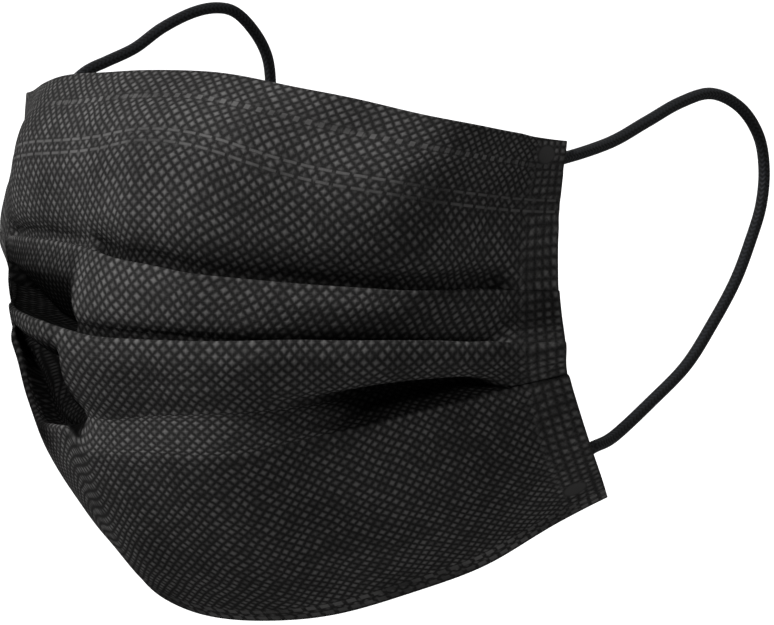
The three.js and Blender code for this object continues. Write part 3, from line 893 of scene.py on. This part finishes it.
def cloth_material(name, dot, groove, relief, painted_shade_factor):
    """Black spunbond nonwoven: pillows of loose fibre that catch the light between fused grooves that don't, hot
    welds along the hems, small pressed squares in the side bands, and a pressed disc where each loop is welded. Its
    colour also carries painted shade: it is multiplied by a factor that falls from 1 to the last argument as the
    cloth's painted-shade attribute goes from 0 to 1."""
    material, g, shader = new_material(name, Specular_IOR_Level=0.0)
    place = flat_place(g)
    x, y = g.split(place)
    lattice = use_group(g, LATTICE, Place=place, Width=CELL[0], Height=CELL[1], Groove=GROOVE)
    fibres = use_group(g, FIBRES, Place=place)
    pillow, grooves = lattice["Pillow"], lattice["Grooves"]

    # side bands: rows of small pressed squares
    inward = g.sum("SUBTRACT", HALF_WIDTH, g.sum("ABSOLUTE", g.sum("SUBTRACT", x, HALF_WIDTH)))
    in_band = g.step(inward, BAND + 1, BAND - 4.0, 0.0, 0.8)
    _, from_bottom = g.split(g.add("ShaderNodeUVMap", uv_map="pressed_band"))
    from_bottom = g.sum("MULTIPLY", from_bottom, CLOTH_MAP)
    squares = [g.sum("MULTIPLY", g.sum("PINGPONG", way, BAND_DOT / 2), 2 / BAND_DOT) for way in (inward, from_bottom)]
    square = g.step(g.sum("SMOOTH_MIN", *squares, 0.3), 0.0, 0.85, 0.2, 0.95)
    pillow = g.add("ShaderNodeMix", inputs={0: in_band, 2: pillow, 3: square})
    grooves = g.add("ShaderNodeMix", inputs={0: in_band, 2: grooves, 3: g.sum("SUBTRACT", 1.0, square)})

    # hems: rows of welds
    welds = 0.0
    seams = 0.0
    for rows, way in ((HEM_ROWS, place), (BOTTOM_ROWS, g.join(x, from_bottom))):
        for row, pitch, length, width in rows:
            weld = use_group(g, WELD_ROW, Place=way, Row=row, Pitch=pitch, Length=length, Width=width)
            welds = g.sum("MAXIMUM", welds, weld["Mask"])
            seams = g.sum("MAXIMUM", seams, weld["Seam"])
    seams = g.sum("MULTIPLY", seams, 0.5)

    # pressed discs where the loops are welded on
    to_disc_x = g.sum("SUBTRACT", inward, DISC_IN)
    discs = 0.0
    for to_disc_y in (g.sum("SUBTRACT", from_bottom, DISC_UP), g.sum("SUBTRACT", y, DISC_DOWN)):
        away = g.add("ShaderNodeVectorMath", operation="LENGTH", out=1, inputs={0: g.join(to_disc_x, to_disc_y)})
        discs = g.sum("MAXIMUM", discs, g.step(away, *DISC))

    plain = g.sum("SUBTRACT", 1.0, g.sum("MAXIMUM", seams, discs))
    bright = g.sum("MULTIPLY", g.sum("MULTIPLY", pillow, g.sum("SUBTRACT", 1.0, grooves)), plain)
    varied = g.sum("MULTIPLY", bright, g.step(lattice["Cell"], 0.0, 1.0, 0.6, 1.4))
    varied = g.sum("ADD", varied, g.sum("MULTIPLY", g.sum("SUBTRACT", fibres["Streaks"], 0.5), 0.8))
    varied = g.sum("MAXIMUM", varied, g.sum("MULTIPLY", discs, 0.35))
    worn = g.step(fibres["Clouds"], 0.3, 0.65, 0.25, 0.9)
    varied = g.sum("MAXIMUM", varied, g.sum("MULTIPLY", welds, worn), clamp=True)
    clouds = g.step(fibres["Clouds"], 0.3, 0.7, 0.82, 1.12)
    # Painted shade: the cloth's colour is darkened where the painted-shade attribute is high, in pockets and hollows
    # and on the far cheek's lip and ridge; the clouds are the cloth's own tone.
    painted_shade = g.add("ShaderNodeAttribute", out=2, attribute_name="painted_shade")
    clouds_and_painted_shade = g.sum("MULTIPLY", clouds, g.step(painted_shade, 0.0, 1.0, 1.0, painted_shade_factor))
    g.put(shader["Base Color"], g.scaled(g.colours(varied, groove, dot), clouds_and_painted_shade))
    g.put(shader["Roughness"], g.step(varied, 0.0, 1.0, 0.62, 0.48))
    height = g.sum("ADD", bright, g.sum("MULTIPLY", fibres["Streaks"], 0.3))
    height = g.sum("ADD", height, g.sum("MULTIPLY", welds, 0.5))
    height = g.sum("SUBTRACT", height, g.sum("MULTIPLY", seams, 0.25))
    g.put(shader["Normal"], g.bump(height, relief))
    return material


STITCH, WALE = 1.1, 1.3  # length of a stitch along the elastic and width of a wale round it, in millimetres


def elastic_material():
    """Knitted elastic: fine chevrons along the cord, with a fuzz of loose fibre."""
    sockets = {"Sheen_Weight": 0.03, "Sheen_Roughness": 0.5, "Specular_IOR_Level": 0.1}
    material, g, shader = new_material("black_knitted_elastic", **sockets)
    place = flat_place(g)
    fibres = use_group(g, FIBRES, Place=place)
    along, around = g.split(g.vector("ADD", place, (0, MAP_START, 0)))
    lean = g.sum("PINGPONG", around, WALE / 2)
    stitch = g.sum("SINE", g.sum("MULTIPLY", g.sum("ADD", along, lean), 2 * math.pi / STITCH))
    wale = g.sum("SINE", g.sum("MULTIPLY", around, 2 * math.pi / WALE))
    knit = g.sum("ADD", g.sum("MULTIPLY", stitch, 0.6), g.sum("MULTIPLY", wale, 0.4))
    tone = g.step(g.sum("ADD", knit, fibres["Streaks"]), -0.4, 1.4)
    g.put(shader["Base Color"], g.colours(tone, grey(0.001), (0.0062, 0.0072, 0.009, 1)))
    g.put(shader["Roughness"], g.step(tone, 0.0, 1.0, 0.8, 0.62))
    height = g.sum("ADD", g.sum("MULTIPLY", knit, 0.5), g.sum("MULTIPLY", fibres["Streaks"], 0.6))
    g.put(shader["Normal"], g.bump(height, 0.12))
    return material


def wire_material():
    """White plastic that coats the nose wire: matt, with long draw lines and small scuffs."""
    material, g, shader = new_material("coated_wire", Specular_IOR_Level=0.5)
    object_place = g.add("ShaderNodeTexCoord", out=3)
    x, y = g.split(object_place)
    lines = g.noise(g.join(g.sum("MULTIPLY", x, 60), g.sum("MULTIPLY", y, 2500)), 1.0, 2.0)
    scuffs = g.noise(object_place, 900.0, 3.0)
    g.put(shader["Base Color"], g.colours(g.step(scuffs, 0.35, 0.75), grey(0.62, 0.01), grey(0.45, 0.02)))
    g.put(shader["Roughness"], g.step(lines, 0.3, 0.7, 0.4, 0.58))
    g.put(shader["Normal"], g.bump(lines, 0.05, strength=0.4))
    return material


# The face's colour takes painted shade down to a tenth; the inside takes none.
panel.data.materials.append(cloth_material("black_nonwoven_face", grey(0.064, 0.02), grey(0.011, 0.02), 0.1, 0.1))
panel.data.materials.append(cloth_material("black_nonwoven_inside", grey(0.05, 0.02), grey(0.015, 0.02), 0.1, 1.0))
elastic = elastic_material()
for loop in loops:
    loop.data.materials.append(elastic)
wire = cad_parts["nose_wire"]
wire.data.materials.clear()
wire.data.materials.append(wire_material())

# ---- studio -----------------------------------------------------------------------------------------------------
scene = bpy.context.scene
scene.view_settings.view_transform = "Standard"
scene.view_settings.look = "None"
scene.view_settings.exposure = 0
scene.view_settings.gamma = 1


def turned_to(azimuth, elevation):
    """The turn of a camera or light that looks at the object from an azimuth and elevation in degrees."""
    return Matrix.Rotation(math.radians(azimuth), 4, "Z") @ Matrix.Rotation(math.radians(90 - elevation), 4, "X")


AZIMUTH, ELEVATION = 30.0, 14.11  # degrees
DISTANCE = 0.8  # metres from the target
TARGET = Vector((0, 5.6, -53.8)) * MM
AIM = (2.485, 0.887)  # degrees that the camera then looks to the right and up
camera_data = bpy.data.cameras.new("camera")
camera_data.lens = 190.1
camera_data.sensor_width = 36
camera_data.clip_end = 50
camera = bpy.data.objects.new("camera", camera_data)
scene.collection.objects.link(camera)
turn = turned_to(AZIMUTH, ELEVATION)
aim = Matrix.Rotation(math.radians(-AIM[0]), 4, "Y") @ Matrix.Rotation(math.radians(AIM[1]), 4, "X")
camera.matrix_world = Matrix.Translation(TARGET + turn.to_3x3() @ Vector((0, 0, DISTANCE))) @ turn @ aim
scene.camera = camera

FLOOR_DOWN, FLOOR_HALF = 300.0, 5000.0  # millimetres below the origin, and to each side
floor_corners = np.array([(-1, -1), (1, -1), (1, 1), (-1, 1)]) * FLOOR_HALF
floor = mesh_object("floor", [(x, y, -FLOOR_DOWN) for x, y in floor_corners], [np.array([[0, 1, 2, 3]])])
floor_material, _, floor_shader = new_material("pale_floor", Roughness=0.9, Specular_IOR_Level=0.2)
floor_shader["Base Color"].default_value = (0.62, 0.62, 0.62, 1)
floor.data.materials.append(floor_material)
floor.visible_diffuse = floor.visible_glossy = floor.visible_shadow = False

AMBIENT, BACKDROP = 0.16, 1.0  # the world's strength on the object and seen directly
world = bpy.data.worlds.new("studio")
scene.world = world
world.use_nodes = True
g = Graph(world.node_tree)
seen = g.add("ShaderNodeLightPath", out=0)
world.node_tree.nodes["Background"].inputs["Color"].default_value = (1, 1, 1, 1)
g.put(world.node_tree.nodes["Background"].inputs["Strength"], g.step(seen, 0.0, 1.0, AMBIENT, BACKDROP))


def soft_light(name, azimuth, elevation, softness, strength):
    """A far, wide light at an azimuth and elevation. Softness is the angle that it covers. Angles are in degrees."""
    data = bpy.data.lights.new(name, "SUN")
    data.angle = math.radians(softness)
    data.energy = strength
    obj = bpy.data.objects.new(name, data)
    obj.matrix_world = turned_to(azimuth, elevation)
    scene.collection.objects.link(obj)


soft_light("key", -42, 48, 20, 8.3)
soft_light("fill", 104, 0, 50, 1.5)
soft_light("bounce", -22, -38, 60, 1.6)
